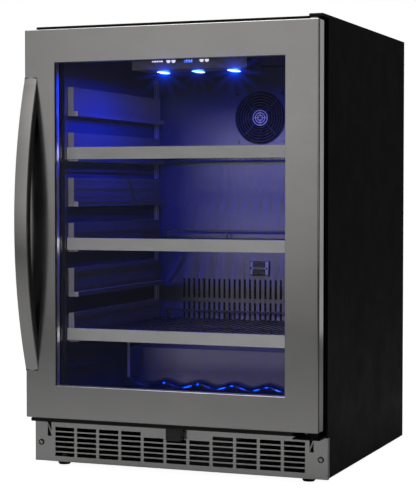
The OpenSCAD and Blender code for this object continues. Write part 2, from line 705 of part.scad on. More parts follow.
module shelf_rack(i) color([0.10, 0.10, 0.11]) in_place() {
  z = shelf_z[i] + foot_t;
  front = 70;
  rear = 519;
  half = shelf_in_x - 0.5;
  count = floor((half - 8) / wire_pitch);
  both() slab([half - 6, half], [front, rear], [z, z + 8]);
  for (y = [front, (front + rear) / 2, rear - 6]) wide(half - 3, [y, y + 6], [z, z + 5]);
  for (n = [-count : count]) rod_y(n * wire_pitch, [front + 3, rear - 3], z + 5.6, 1.5, $fn = 16);
  for (x = [-217.5, -72.5, 72.5, 217.5]) wide_at(x, 2, [rear - 5, rear - 1], [z + 3, z + 25]);
  wide(219.5, [rear - 5, rear - 1], [z + 21, z + 25]);
}

module shelf_rack_top() shelf_rack(0);
module shelf_rack_middle() shelf_rack(1);
module shelf_rack_bottom() shelf_rack(2);

// The folded steel channel along the front of a shelf
module shelf_trim(i) color([0.56, 0.55, 0.54]) in_place() {
  z = shelf_z[i] + 4;
  h = 23.5;
  half = liner_x - 1.5;
  wide(half, [60, 61.5], [z, z + h]);
  wide(half, [61.5, 68.5], [z, z + 1.2]);
  wide(half, [61.5, 68.5], [z + h - 1.2, z + h]);
  for (x = [-160, 0, 160]) wide_at(x, 8, [61.5, 70], [z + 8, z + 12]);
}

module shelf_trim_top() shelf_trim(0);
module shelf_trim_middle() shelf_trim(1);
module shelf_trim_bottom() shelf_trim(2);

outer_wrapper();
rear_panel();
base_pan();
deck_plate();
inner_liner();
insulation_foam();
shelf_runners();
evaporator_cover();
evaporator_coil();
evap_fan_frame();
evap_fan_guard();
fan_guard_screws();
sensor_cover();
control_housing();
control_fascia();
led_lenses();
bottle_rack();
kick_plate();
kick_plate_screws();
kick_plate_clips();
top_hinge();
top_hinge_cap();
bottom_hinge();
hinge_screws();
compressor();
compressor_mounts();
starter_cover();
condenser_coil();
cond_fan_frame();
drain_pan();
refrigerant_lines();
power_cord();
rear_service_cover();
rear_cover_screws();
evap_fan_rotor();
cond_fan_rotor();
foot_front_left();
foot_front_right();
foot_rear_left();
foot_rear_right();
button_power();
button_light();
button_up();
button_down();
door_frame();
door_inner_frame();
glass_panes();
glass_spacer();
door_gasket();
handle_bar();
handle_back();
door_bushings();
lock_housing();
lock_barrel();
shelf_rack_top();
shelf_rack_middle();
shelf_rack_bottom();
shelf_trim_top();
shelf_trim_middle();
shelf_trim_bottom();
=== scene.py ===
"""Looks of the undercounter refrigerator: finishes, finer pieces, lamps, camera and studio.
Lengths are in metres and the frame is the CAD's: X to the right, Y to the back, Z up, origin on the floor."""
import json
import math

import bmesh
import bpy
from mathutils import Matrix, Vector

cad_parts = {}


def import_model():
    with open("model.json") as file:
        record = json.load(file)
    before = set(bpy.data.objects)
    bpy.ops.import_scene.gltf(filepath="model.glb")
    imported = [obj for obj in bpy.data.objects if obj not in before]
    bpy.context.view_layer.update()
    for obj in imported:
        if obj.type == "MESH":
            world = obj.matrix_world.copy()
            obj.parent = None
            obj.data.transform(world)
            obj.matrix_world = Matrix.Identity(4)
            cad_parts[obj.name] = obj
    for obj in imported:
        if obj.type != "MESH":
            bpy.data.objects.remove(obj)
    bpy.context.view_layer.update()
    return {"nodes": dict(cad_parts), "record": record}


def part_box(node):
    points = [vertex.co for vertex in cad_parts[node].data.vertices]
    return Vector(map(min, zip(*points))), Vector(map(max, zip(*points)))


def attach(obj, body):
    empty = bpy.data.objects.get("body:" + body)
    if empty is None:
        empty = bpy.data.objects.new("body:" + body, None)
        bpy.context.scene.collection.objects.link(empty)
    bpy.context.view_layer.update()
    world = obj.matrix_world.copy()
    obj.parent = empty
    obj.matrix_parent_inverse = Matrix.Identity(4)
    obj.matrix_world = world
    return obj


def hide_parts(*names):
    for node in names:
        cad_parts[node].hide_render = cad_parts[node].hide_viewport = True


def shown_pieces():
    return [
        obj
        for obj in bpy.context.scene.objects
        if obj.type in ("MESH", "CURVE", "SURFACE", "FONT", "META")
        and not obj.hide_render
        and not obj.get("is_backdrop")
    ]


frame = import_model()
nodes = frame["nodes"]
scene = bpy.context.scene
MM = 0.001


# ---- Finishes ----

def add(tree, kind, **inputs):
    """A shader node with its inputs set by name (spaces written as _)."""
    node = tree.nodes.new(kind)
    for key, value in inputs.items():
        node.inputs[key.replace("_", " ")].default_value = value
    return node


def noise(tree, size, detail=3.0, rough=0.55):
    """Noise in the object's own space, whose features measure size along X, Y and Z."""
    coord = tree.nodes.new("ShaderNodeTexCoord")
    scale = add(tree, "ShaderNodeMapping", Scale=[1 / s for s in size])
    tex = add(tree, "ShaderNodeTexNoise", Scale=1.0, Detail=detail, Roughness=rough)
    tree.links.new(coord.outputs["Object"], scale.inputs["Vector"])
    tree.links.new(scale.outputs["Vector"], tex.inputs["Vector"])
    return tex.outputs["Fac"]


def spread(tree, value, low, high):
    """Stretches the middle of a noise to run from low to high."""
    node = add(tree, "ShaderNodeMapRange", From_Min=0.3, From_Max=0.7, To_Min=low, To_Max=high)
    tree.links.new(value, node.inputs["Value"])
    return node.outputs["Result"]


def times(tree, a, b):
    node = tree.nodes.new("ShaderNodeMath")
    node.operation = "MULTIPLY"
    tree.links.new(a, node.inputs[0])
    tree.links.new(b, node.inputs[1])
    return node.outputs["Value"]


def finish(name, color, rough, metal=0.0, spec=0.5, cloud=0.08, cloud_size=(0.09,) * 3, grain=0.06,
           grain_size=(0.0012,) * 3, scuff=0.06, bump=0.2, brushed=0.0, coat=0.0, alpha=1.0):
    """A Principled finish: cloudy tone, fine grain, uneven roughness and a fine relief.
    brushed stretches the highlights across the grain."""
    mat = bpy.data.materials.new(name)
    mat.use_nodes = True
    tree = mat.node_tree
    shader = tree.nodes["Principled BSDF"]
    shader.inputs["Metallic"].default_value = metal
    shader.inputs["Specular IOR Level"].default_value = spec
    shader.inputs["Coat Weight"].default_value = coat
    shader.inputs["Coat Roughness"].default_value = 0.08
    shader.inputs["Alpha"].default_value = alpha
    fine = noise(tree, grain_size)
    tone = times(tree, spread(tree, noise(tree, cloud_size), 1 - cloud, 1 + cloud),
                 spread(tree, fine, 1 - grain, 1 + grain))
    shade = tree.nodes.new("ShaderNodeVectorMath")
    shade.operation = "SCALE"
    shade.inputs["Vector"].default_value = color
    tree.links.new(tone, shade.inputs["Scale"])
    tree.links.new(shade.outputs["Vector"], shader.inputs["Base Color"])
    worn = noise(tree, [s * 0.6 for s in cloud_size], detail=6.0)
    tree.links.new(spread(tree, worn, max(0.02, rough - scuff), min(1.0, rough + scuff)),
                   shader.inputs["Roughness"])
    relief = add(tree, "ShaderNodeBump", Strength=bump, Distance=0.0001)
    tree.links.new(fine, relief.inputs["Height"])
    tree.links.new(relief.outputs["Normal"], shader.inputs["Normal"])
    if brushed:
        along = tree.nodes.new("ShaderNodeTangent")
        along.direction_type, along.axis = "RADIAL", "Z"
        shader.inputs["Anisotropic"].default_value = brushed
        tree.links.new(along.outputs["Tangent"], shader.inputs["Tangent"])
    return mat


def paint_shade_below(mat, low, high, least):
    """Paints shade on a finish's side walls: darker from the height high down to the height low, where less
    of the lamps' light falls; faces that look to the front keep their tone.
    """
    tree = mat.node_tree
    shader = tree.nodes["Principled BSDF"]
    tone = shader.inputs["Base Color"].links[0].from_socket
    place = tree.nodes.new("ShaderNodeNewGeometry")
    split = tree.nodes.new("ShaderNodeSeparateXYZ")
    level = add(tree, "ShaderNodeMapRange", From_Min=low, From_Max=high, To_Min=least, To_Max=1.0)
    shade = tree.nodes.new("ShaderNodeVectorMath")
    shade.operation = "SCALE"
    tree.links.new(place.outputs["Position"], split.inputs["Vector"])
    tree.links.new(split.outputs["Z"], level.inputs["Value"])
    facing = tree.nodes.new("ShaderNodeVectorMath")
    facing.operation = "ABSOLUTE"
    sideways = tree.nodes.new("ShaderNodeSeparateXYZ")
    front = add(tree, "ShaderNodeMapRange", From_Min=0.0, From_Max=1.0, To_Min=1.0, To_Max=0.0)
    lighter = tree.nodes.new("ShaderNodeMath")
    lighter.operation = "MAXIMUM"
    tree.links.new(place.outputs["True Normal"], facing.inputs[0])
    tree.links.new(facing.outputs["Vector"], sideways.inputs["Vector"])
    tree.links.new(sideways.outputs["X"], front.inputs["Value"])
    tree.links.new(front.outputs["Result"], lighter.inputs[0])
    tree.links.new(level.outputs["Result"], lighter.inputs[1])
    tree.links.new(tone, shade.inputs[0])
    tree.links.new(lighter.outputs["Value"], shade.inputs["Scale"])
    tree.links.new(shade.outputs["Vector"], shader.inputs["Base Color"])


def glow(name, color, power, dim_color):
    """A glowing finish: color where the vertices' glow value is 1, down to dim_color where it is 0."""
    mat = bpy.data.materials.new(name)
    mat.use_nodes = True
    tree = mat.node_tree
    shader = tree.nodes["Principled BSDF"]
    level = tree.nodes.new("ShaderNodeAttribute")
    level.attribute_name = "glow"
    flicker = spread(tree, noise(tree, (0.0015, 0.004, 0.002)), 0.75, 1.25)
    ramp = tree.nodes.new("ShaderNodeValToRGB")
    ramp.color_ramp.elements[0].color = (*dim_color, 1)
    ramp.color_ramp.elements[1].color = (*color, 1)
    ramp.color_ramp.elements[1].position = 0.7
    tree.links.new(times(tree, level.outputs["Fac"], flicker), ramp.inputs["Fac"])
    tree.links.new(ramp.outputs["Color"], shader.inputs["Emission Color"])
    shader.inputs["Emission Strength"].default_value = power
    shader.inputs["Base Color"].default_value = (0.5, 0.6, 0.9, 1)
    shader.inputs["Roughness"].default_value = 0.15
    return mat


SMOOTH_STEEL_GRAIN = (0.03, 0.03, 0.0005)        # brushed from side to side
FINE = (0.0008,) * 3

FINISHES = {
    "dark_stainless": finish("dark_stainless", (0.56, 0.548, 0.54), 0.17, metal=1.0, cloud=0.03,
                             cloud_size=(0.12, 0.12, 0.10), grain=0.03, grain_size=SMOOTH_STEEL_GRAIN,
                             scuff=0.03, bump=0.008, brushed=0.5),
    "black_painted_steel": finish("black_painted_steel", (0.0065, 0.0065, 0.0072), 0.5, spec=0.12,
                                  cloud=0.12, grain=0.12, grain_size=(0.0016,) * 3, bump=0.35),
    "galvanised_steel": finish("galvanised_steel", (0.34, 0.35, 0.36), 0.45, metal=1.0, cloud=0.16,
                               cloud_size=(0.012,) * 3, grain=0.08, scuff=0.12),
    "black_plastic": finish("black_plastic", (0.010, 0.010, 0.011), 0.42, spec=0.3, grain_size=FINE,
                            bump=0.3),
    "gloss_black_plastic": finish("gloss_black_plastic", (0.006, 0.006, 0.008), 0.14, spec=0.6,
                                  cloud=0.03, scuff=0.015, bump=0.0, coat=0.5),
    "liner_plastic": finish("liner_plastic", (0.125, 0.118, 0.138), 0.42, spec=0.3, cloud=0.05, grain=0.05,
                            bump=0.15),
    "runner_plastic": finish("runner_plastic", (0.135, 0.128, 0.146), 0.34, spec=0.35, cloud=0.05,
                             grain=0.05, bump=0.12),
    "fascia_plastic": finish("fascia_plastic", (0.055, 0.053, 0.054), 0.38, spec=0.35, bump=0.15),
    "gasket_rubber": finish("gasket_rubber", (0.17, 0.16, 0.18), 0.55, spec=0.3, bump=0.25),
    "black_rubber": finish("black_rubber", (0.008, 0.008, 0.008), 0.7, spec=0.25, bump=0.5),
    "insulating_foam": finish("insulating_foam", (0.80, 0.66, 0.36), 0.9, spec=0.2, cloud=0.12,
                              grain=0.15, grain_size=(0.003,) * 3, bump=1.0),
    "coated_wire": finish("coated_wire", (0.018, 0.018, 0.020), 0.3, spec=0.5, bump=0.1, coat=0.3),
    "nylon": finish("nylon", (0.75, 0.74, 0.68), 0.45, bump=0.1),
    "white_plastic": finish("white_plastic", (0.72, 0.72, 0.68), 0.4, bump=0.1),
    "copper_tube": finish("copper_tube", (0.72, 0.36, 0.20), 0.3, metal=1.0, cloud=0.2,
                          cloud_size=(0.02,) * 3, scuff=0.12),
    "coil_aluminium": finish("coil_aluminium", (0.70, 0.71, 0.72), 0.4, metal=1.0, cloud=0.12,
                             cloud_size=(0.02,) * 3, scuff=0.1),
    "spring_steel": finish("spring_steel", (0.55, 0.54, 0.52), 0.25, metal=1.0, scuff=0.1),
    "lamp_lens": glow("lamp_lens", (0.03, 0.12, 1.0), 0.8, (0.002, 0.01, 0.25)),
    "window_glass": finish("window_glass", (0.05, 0.06, 0.09), 0.03, spec=0.5, cloud=0.0, grain=0.0,
                           scuff=0.015, bump=0.0, alpha=0.05),
}

CHROME = finish("bright_chrome", (0.52, 0.52, 0.54), 0.3, metal=1.0, bump=0.03)
# Painted sheen: the hub rings are coated wire like the guard, painted pale grey to stand in for their bright
# reflections.
HUB_SHEEN = finish("hub_painted_sheen", (0.80, 0.82, 0.90), 0.4, spec=0.5, bump=0.1)
SATIN = finish("satin_steel", (0.74, 0.725, 0.715), 0.30, metal=0.5, cloud=0.04,
               cloud_size=(0.08, 0.08, 0.03), grain=0.03, grain_size=SMOOTH_STEEL_GRAIN,
               scuff=0.02, bump=0.005, brushed=0.3)
# Painted light: the liner's ribs, painted a far lighter grey than the liner so that they read as lit lines.
RIB_LIT = finish("rib_grey_painted_light", (0.42, 0.40, 0.45), 0.35, spec=0.4, bump=0.1)
# Painted light: a much lighter grey than fascia_plastic for the fascia and the sensor cover, standing in for
# light that does not reach them.
PANEL_LIT = finish("panel_grey_painted_light", (0.30, 0.29, 0.29), 0.45, spec=0.35, bump=0.12)
# A darker copy of black_plastic: the fan's own black with painted shade behind the guard, also used for the
# painted shade behind the cover's slots and in the sensor's openings.
BLACK_AND_SHADE = finish("fan_black_and_shade", (0.0015, 0.0015, 0.002), 0.5, spec=0.05, grain_size=FINE, bump=0.2)
# Painted light: the guard wires are coated wire, painted a lighter blue that stands in for the lamps' blue
# light on them.
GUARD_WIRE_BLUE_LIT = finish("guard_wire", (0.035, 0.03, 0.12), 0.3, spec=0.3, bump=0.05)
PIN_HEAD = finish("pin_head", (0.02, 0.02, 0.03), 0.35, spec=0.5, bump=0.1)
# Painted light: the printed symbols and the buttons glow, standing in for light that does not reach the
# shaded fascia.
MARKS_GLOWING = glow("printed_symbols_painted_glow", (0.85, 0.87, 0.95), 1.0, (0.85, 0.87, 0.95))
DISPLAY = glow("display_segments", (0.06, 0.16, 1.0), 4.0, (0.06, 0.16, 1.0))
STREAK = glow("lamp_core", (0.16, 0.42, 1.0), 12.0, (0.16, 0.42, 1.0))

# Copies of runner_plastic and liner_plastic whose side walls carry painted shade, darker lower down.
RUNNERS = finish("runner_grey_shaded_below", (0.135, 0.128, 0.146), 0.34, spec=0.35, cloud=0.05, grain=0.05, bump=0.12)
WALLS = finish("liner_walls_shaded_below", (0.125, 0.115, 0.138), 0.42, spec=0.3, cloud=0.05, grain=0.05, bump=0.15)
SHADE_FROM, SHADE_TO, SHADE_LEAST = 0.72, 0.50, 0.25   # heights between which the side walls darken, and how far
for walls in (RUNNERS, WALLS):
    paint_shade_below(walls, SHADE_TO, SHADE_FROM, SHADE_LEAST)

OWN_FINISH = {
    "inner_liner": WALLS, "shelf_runners": RUNNERS, "sensor_cover": PANEL_LIT,
    "control_fascia": PANEL_LIT, "control_housing": FINISHES["liner_plastic"],
    "button_power": MARKS_GLOWING, "button_light": MARKS_GLOWING, "button_up": MARKS_GLOWING, "button_down": MARKS_GLOWING,
    "shelf_trim_top": SATIN, "shelf_trim_middle": SATIN, "shelf_trim_bottom": SATIN,
    "evap_fan_frame": BLACK_AND_SHADE, "evap_fan_rotor": BLACK_AND_SHADE, "fan_guard_screws": PIN_HEAD,
}

for part in frame["record"]["subparts"]:
    mesh = nodes[part["node"]].data
    mesh.materials.clear()
    mesh.materials.append(OWN_FINISH.get(part["node"], FINISHES[part["material_slot"]]))


# ---- Finer pieces ----

def piece(name, bm, body, slot, stands_for=(), material=None, crease=35, bevel=0.0):
    """A finished mesh that rides on a CAD body and stands for the CAD nodes named."""
    bmesh.ops.recalc_face_normals(bm, faces=bm.faces)
    mesh = bpy.data.meshes.new(name)
    bm.to_mesh(mesh)
    bm.free()
    mesh.shade_smooth()
    mesh.set_sharp_from_angle(angle=math.radians(crease))
    mesh.materials.append(material or FINISHES[slot])
    obj = bpy.data.objects.new(name, mesh)
    scene.collection.objects.link(obj)
    if bevel:
        soften(obj, bevel)
    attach(obj, body)
    if stands_for:
        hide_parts(*stands_for)
    return obj


def soften(obj, width):
    """Rounds an object's sharp edges so that they catch the light."""
    edge = obj.modifiers.new("rounded_edges", "BEVEL")
    edge.width, edge.segments = width, 2
    edge.limit_method, edge.angle_limit = "ANGLE", math.radians(40)
    edge.harden_normals = False


def ring(bm, centre, radius, wire, around=72, tube=8):
    """A round wire ring that faces the front."""
    x, y, z = centre
    rows = []
    for i in range(around):
        a = 2 * math.pi * i / around
        row = []
        for k in range(tube):
            b = 2 * math.pi * k / tube
            r = radius + wire * math.cos(b)
            row.append(bm.verts.new((x + r * math.cos(a), y + wire * math.sin(b), z + r * math.sin(a))))
        rows.append(row)
    for i in range(around):
        for k in range(tube):
            j, m = (i + 1) % around, (k + 1) % tube
            bm.faces.new((rows[i][k], rows[j][k], rows[j][m], rows[i][m]))


def bar(bm, start, end, wire, tube=8):
    """A round rod between two points."""
    a, b = Vector(start), Vector(end)
    turn = (b - a).to_track_quat("Z", "Y").to_matrix().to_4x4()
    bmesh.ops.create_cone(bm, cap_ends=True, segments=tube, radius1=wire, radius2=wire, depth=(b - a).length,
                          matrix=Matrix.Translation((a + b) / 2) @ turn)


def block(bm, lo, hi):
    """A box between two corners."""
    size = Vector(hi) - Vector(lo)
    bmesh.ops.create_cube(bm, size=1, matrix=Matrix.Translation((Vector(lo) + Vector(hi)) / 2)
                          @ Matrix.Diagonal((*size, 1)))


def loft(bm, rows):
    """Faces between closed rows of points, with a cap on the first and the last row."""
    made = [[bm.verts.new(p) for p in row] for row in rows]
    n = len(made[0])
    for a, b in zip(made, made[1:]):
        for k in range(n):
            m = (k + 1) % n
            bm.faces.new((a[k], a[m], b[m], b[k]))
    bm.faces.new(made[0])
    bm.faces.new(list(reversed(made[-1])))


def bowed_layer(near, far, steps=72, least=0.0006):
    """A layer of the handle between two depths behind its bowed face, cut off at the door."""
    lo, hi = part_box("handle_bar")
    door_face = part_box("door_frame")[0].y
    reach = door_face - lo.y
    half = (hi.z - lo.z) / 2
    mid = (hi.z + lo.z) / 2
    radius = (half * half + reach * reach) / (2 * reach)
    rows = []
    for i in range(steps + 1):
        z = -half + 2 * half * i / steps
        depth = [door_face - reach + radius - math.sqrt((radius - d) ** 2 - z * z) for d in (near, far)]
        front, back = (min(d, door_face - share * least) for d, share in zip(depth, (2, 1)))
        crown = 0.0005 * (near == 0)
        rows.append([(lo.x, front + crown, mid + z), ((lo.x + hi.x) / 2, front, mid + z),
                     (hi.x, front + crown, mid + z), (hi.x, back, mid + z), (lo.x, back, mid + z)])
    bm = bmesh.new()
    loft(bm, rows)
    return bm


steel_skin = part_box("handle_back")[0].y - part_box("handle_bar")[0].y
handle_depth = 18 * MM
piece("handle_face", bowed_layer(0, steel_skin), "door", "dark_stainless", ["handle_bar"],
      crease=50, bevel=0.0007)
piece("handle_rear", bowed_layer(steel_skin, handle_depth), "door", "gloss_black_plastic", ["handle_back"],
      crease=50, bevel=0.0012)


def fan_guard():
    """Wire rings, four spokes and a hub over the evaporator fan; the wires carry painted blue light and the
    hub a painted pale sheen.
    """
    lo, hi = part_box("evap_fan_guard")
    x, z = (lo.x + hi.x) / 2, (lo.z + hi.z) / 2
    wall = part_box("evaporator_cover")[0].y
    wire, pitch, front_gap = 0.85 * MM, 6.1 * MM, 1.1 * MM
    hub, hub_wire = 16 * MM, 1.0 * MM
    face = lo.y + front_gap
    dark, bright = bmesh.new(), bmesh.new()
    outer = (hi.x - lo.x) / 2 - wire
    for i in range(8):
        ring(dark, (x, face, z), outer - i * pitch, wire)
    for quarter in range(4):
        a = math.radians(45 + 90 * quarter)
        tip = (x + (outer + wire) * math.cos(a), wall - wire, z + (outer + wire) * math.sin(a))
        bar(dark, (x + 6 * MM * math.cos(a), face + wire, z + 6 * MM * math.sin(a)), tip, 1.3 * wire)
    for radius in (6, 11, 16.5):
        ring(bright, (x, face - 0.2 * MM, z), radius * MM, hub_wire, around=48)
    for quarter in range(4):
        a = math.radians(90 * quarter)
        bar(bright, (x + 2 * MM * math.cos(a), face, z + 2 * MM * math.sin(a)),
            (x + hub * math.cos(a), face, z + hub * math.sin(a)), 0.8 * hub_wire)
    piece("fan_guard_wires", dark, "cabinet", "coated_wire", ["evap_fan_guard"], material=GUARD_WIRE_BLUE_LIT)
    piece("fan_guard_hub", bright, "cabinet", "coated_wire", material=HUB_SHEEN)


fan_guard()


def cover_painted_shade():
    """Painted shade: a dark sheet behind the cover's slots and a dark dished plate behind the fan, standing
    in for the shade seen through them.
    """
    cover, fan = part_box("evaporator_cover"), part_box("evap_fan_frame")
    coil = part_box("evaporator_coil")
    x, z = (fan[0].x + fan[1].x) / 2, (fan[0].z + fan[1].z) / 2
    sheet_near, sheet_far, above_edge, below_coil = 2.2 * MM, 2.8 * MM, 4 * MM, 36 * MM
    dish_steps = ((4, 1.5), (30, 3.0), (50, 2.4), (58, 0.4))      # radius and depth in mm
    bm = bmesh.new()
    block(bm, (coil[0].x, cover[0].y + sheet_near, cover[0].z + above_edge),
          (coil[1].x, cover[0].y + sheet_far, coil[0].z - below_coil))
    dish, around = [], 64
    for radius, back in dish_steps:
        dish.append([(x + radius * MM * math.cos(2 * math.pi * k / around), fan[1].y + back * MM,
                      z + radius * MM * math.sin(2 * math.pi * k / around)) for k in range(around)])
    loft(bm, dish)
    piece("cover_painted_shade", bm, "cabinet", "black_rubber", material=BLACK_AND_SHADE)


cover_painted_shade()


def sensor_grille():
    """The louvred window of the sensor cover: two rows of slats over dark plates of painted shade in the
    openings, a frame line and two screws.
    """
    lo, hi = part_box("sensor_cover")
    face = lo.y
    mid_z = (lo.z + hi.z) / 2
    dark, pale = bmesh.new(), bmesh.new()
    edge, proud, sunk = 1.2 * MM, 0.2 * MM, 0.3 * MM
    left, right = -16 * MM, 14 * MM              # sides of the two openings
    bridge, tall = 1.6 * MM, 14 * MM             # half the bar between them, and their far edges
    # The last two blocks fill the two openings with dark plates: painted shade in the louvre's recess.
    for x0, x1, z0, z1 in ((lo.x, lo.x + edge, lo.z, hi.z), (hi.x - edge, hi.x, lo.z, hi.z),
                           (lo.x, hi.x, lo.z, lo.z + edge), (lo.x, hi.x, hi.z - edge, hi.z),
                           (left, right, mid_z + bridge, mid_z + tall),
                           (left, right, mid_z - tall, mid_z - bridge)):
        block(dark, (x0, face - proud, z0), (x1, face + sunk, z1))
    first, pitch, slat, inset = 3.4, 2.8, 0.9 * MM, 1.5 * MM
    for side in (-1, 1):
        for i in range(4):
            z = mid_z + side * (first + i * pitch) * MM
            block(pale, (left + inset, face - 3 * proud, z), (right - inset, face - proud, z + slat))
    for x in (left - 3.3 * MM, right + 3.2 * MM):
        bar(dark, (x, face - 4 * proud, mid_z), (x, face + sunk, mid_z), 2.0 * MM, tube=20)
    piece("sensor_window", dark, "cabinet", "black_plastic", material=BLACK_AND_SHADE)
    piece("sensor_slats", pale, "cabinet", "runner_plastic")


sensor_grille()


WAVE_PITCH, WAVE_CREST = 77.5 * MM, 10 * MM      # the rack's waves: their spacing and one crest's place


def wave_rack():
    """The moulded rack: a tray with a wavy, rolled bolster near each end, whose hollows cradle bottles."""
    lo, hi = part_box("bottle_rack")
    rise, roll, back_roll, deep, plate = 4.5 * MM, 20 * MM, 3 * MM, 32 * MM, 3 * MM
    mean = hi.z - rise
    steps, turns = 240, 14
    bm = bmesh.new()
    for front in (lo.y, hi.y - deep):
        rows = []
        for i in range(steps + 1):
            x = lo.x + (hi.x - lo.x) * i / steps
            z = mean + rise * math.cos(2 * math.pi * (x - WAVE_CREST) / WAVE_PITCH)
            row = [(x, front, lo.z)]
            for k in range(turns + 1):
                a = math.pi / 2 * k / turns
                row.append((x, front + roll * (1 - math.cos(a)), z - roll * (1 - math.sin(a))))
            for k in range(5):
                a = math.pi / 2 * k / 4
                row.append((x, front + deep - back_roll * (1 - math.sin(a)),
                            z - back_roll * (1 - math.cos(a))))
            row.append((x, front + deep, lo.z))
            rows.append(row)
        loft(bm, rows)
    block(bm, (lo.x, lo.y + deep, lo.z), (hi.x, hi.y - deep, lo.z + plate))
    piece("bottle_rack_wave", bm, "cabinet", "gloss_black_plastic", ["bottle_rack"], crease=50)


wave_rack()


def lamps():
    """Three clear domes under the control panel, each with a bright core in front of it."""
    lo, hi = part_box("led_lenses")
    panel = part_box("control_fascia")[0].z
    mid_y = (lo.y + hi.y) / 2
    half_x, half_y = 12 * MM, (hi.y - lo.y) / 2
    drop, shrink = 6 * MM, 0.92
    spacing = (hi.x - lo.x) / 2 - half_x
    bm = bmesh.new()
    level = bm.verts.layers.float.new("glow")
    rings, around, ribs, depth = 10, 60, 10, 0.09
    for i in (-1, 0, 1):
        made = []
        for r in range(1, rings + 1):
            t = r / rings
            row = []
            for k in range(around):
                a = 2 * math.pi * k / around
                rib = 1 + depth * t * math.cos(ribs * a)
                v = bm.verts.new((i * spacing + half_x * t * rib * math.cos(a) * shrink,
                                  mid_y + half_y * t * rib * math.sin(a) * shrink,
                                  panel - drop * math.sqrt(max(0.0, 1 - t * t))))
                v[level] = (1 - t) ** 0.7 * (0.8 + 0.2 * math.cos(ribs * a))
                row.append(v)
            made.append(row)
        for a, b in zip(made, made[1:]):
            for k in range(around):
                m = (k + 1) % around
                bm.faces.new((a[k], a[m], b[m], b[k]))
        bm.faces.new(made[0])
        bm.faces.new(list(reversed(made[-1])))
    piece("lamp_domes", bm, "cabinet", "lamp_lens", ["led_lenses"], crease=60)
    cores = bmesh.new()
    core_half, core_tilt, core_r, core_drop = 14 * MM, 1.9 * MM, 1.5 * MM, 2.5 * MM
    angles = [k * math.pi / 6 for k in range(12)]
    for i in (-1, 0, 1):
        at = Vector((i * spacing, lo.y - core_r / 2, panel - core_drop))
        tip = Vector((core_half, 0, -core_tilt))
        turn = tip.to_track_quat("Z", "Y").to_matrix().to_4x4()
        rows = []
        for k in range(13):
            t = k / 6 - 1
            thick = core_r * (0.12 + 0.88 * (1 - t * t))
            rows.append([at + tip * t + turn @ Vector((thick * math.cos(a), thick * math.sin(a), 0))
                         for a in angles])
        loft(cores, rows)
    piece("lamp_cores", cores, "cabinet", "lamp_lens", material=STREAK)
    return [Vector((i * spacing, mid_y, panel - drop)) for i in (-1, 0, 1)]


lamp_points = lamps()


def control_marks():
    """Plain printed bars beside the buttons, which glow as painted light, and a two-digit display."""
    lo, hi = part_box("control_fascia")
    face = lo.y - 0.12 * MM
    level = (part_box("button_power")[0].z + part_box("button_power")[1].z) / 2
    marks, digits = bmesh.new(), bmesh.new()
    low = -0.4                                   # middle of the bars and digits, against the buttons'
    digit_x, digit_step, wide, tall = -9, 10, 1.4, 0.55

    def mark(x0, x1, z0, z1, bm=marks):
        block(bm, (x0 * MM, face, level + z0 * MM), (x1 * MM, lo.y, level + z1 * MM))

    bars, half_tall = ((-77, 3), (-73, 5), (-67, 4), (-62, 2), (-59, 5)), 1.4      # places and widths
    for x, width in bars:
        mark(x, x + width, low - half_tall, low + half_tall)
    segments = {"top": (0, 5, 4.6, 5.6), "mid": (0, 5, -0.5, 0.5), "low": (0, 5, -5.6, -4.6),
                "ul": (0, 1, 0.4, 4.8), "ur": (4, 5, 0.4, 4.8),
                "ll": (0, 1, -4.8, -0.4), "lr": (4, 5, -4.8, -0.4)}
    lit = {0: ("top", "mid", "low", "ur", "lr"), 1: ("top", "mid", "low", "ul", "ur", "ll", "lr")}
    for place, names in lit.items():
        for n in names:
            x0, x1, z0, z1 = segments[n]
            left = digit_x + place * digit_step
            mark(left + x0 * wide, left + x1 * wide, low + z0 * tall, low + z1 * tall, digits)
    piece("panel_symbols", marks, "cabinet", "fascia_plastic", material=MARKS_GLOWING)
    piece("panel_digits", digits, "cabinet", "lamp_lens", material=DISPLAY)


control_marks()


def panel_cheek():
    """The black end cheek on the right of the control panel."""
    lo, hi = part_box("control_housing")
    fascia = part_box("control_fascia")[0].y
    over, wide, deep = 0.3 * MM, 7 * MM, 16 * MM
    bm = bmesh.new()
    block(bm, (hi.x - wide - over, lo.y - over, lo.z - over), (hi.x + over, fascia + deep, hi.z))
    piece("panel_cheek", bm, "cabinet", "black_plastic", bevel=0.5 * MM)


panel_cheek()


def kick_screw_heads():
    """A black ring round a slotted grey head at each end of the kick plate; the ring is painted shade of the
    dimple the head sits in.
    """
    lo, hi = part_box("kick_plate_screws")
    z = (lo.z + hi.z) / 2
    head_r, rim, blade = (hi.z - lo.z) / 2, 1.1 * MM, 3 * MM
    slot_angle = 35
    rims, heads = bmesh.new(), bmesh.new()
    for x in (lo.x + head_r, hi.x - head_r):
        # The black ring: painted shade of the countersunk dimple.
        ring(rims, (x, lo.y + rim, z), head_r - rim, rim, around=40)
        for start, end in ((-3.6, -0.7), (0.7, 3.6)):
            block(heads, (x + start * MM, lo.y + 0.3 * MM, z - blade),
                  (x + end * MM, lo.y + 2 * MM, z + blade))
        bar(heads, (x, lo.y + 1.2 * MM, z), (x, hi.y, z), blade, tube=24)
    turn = Matrix.Rotation(math.radians(slot_angle), 4, "Y")
    for v in heads.verts:
        centre = Vector((math.copysign(hi.x - head_r, v.co.x), 0, z))
        v.co = centre + turn @ (v.co - centre)
    piece("kick_screw_dimple_shade", rims, "cabinet", "black_plastic", ["kick_plate_screws"])
    piece("kick_screw_heads", heads, "cabinet", "spring_steel", bevel=0.3 * MM)


kick_screw_heads()


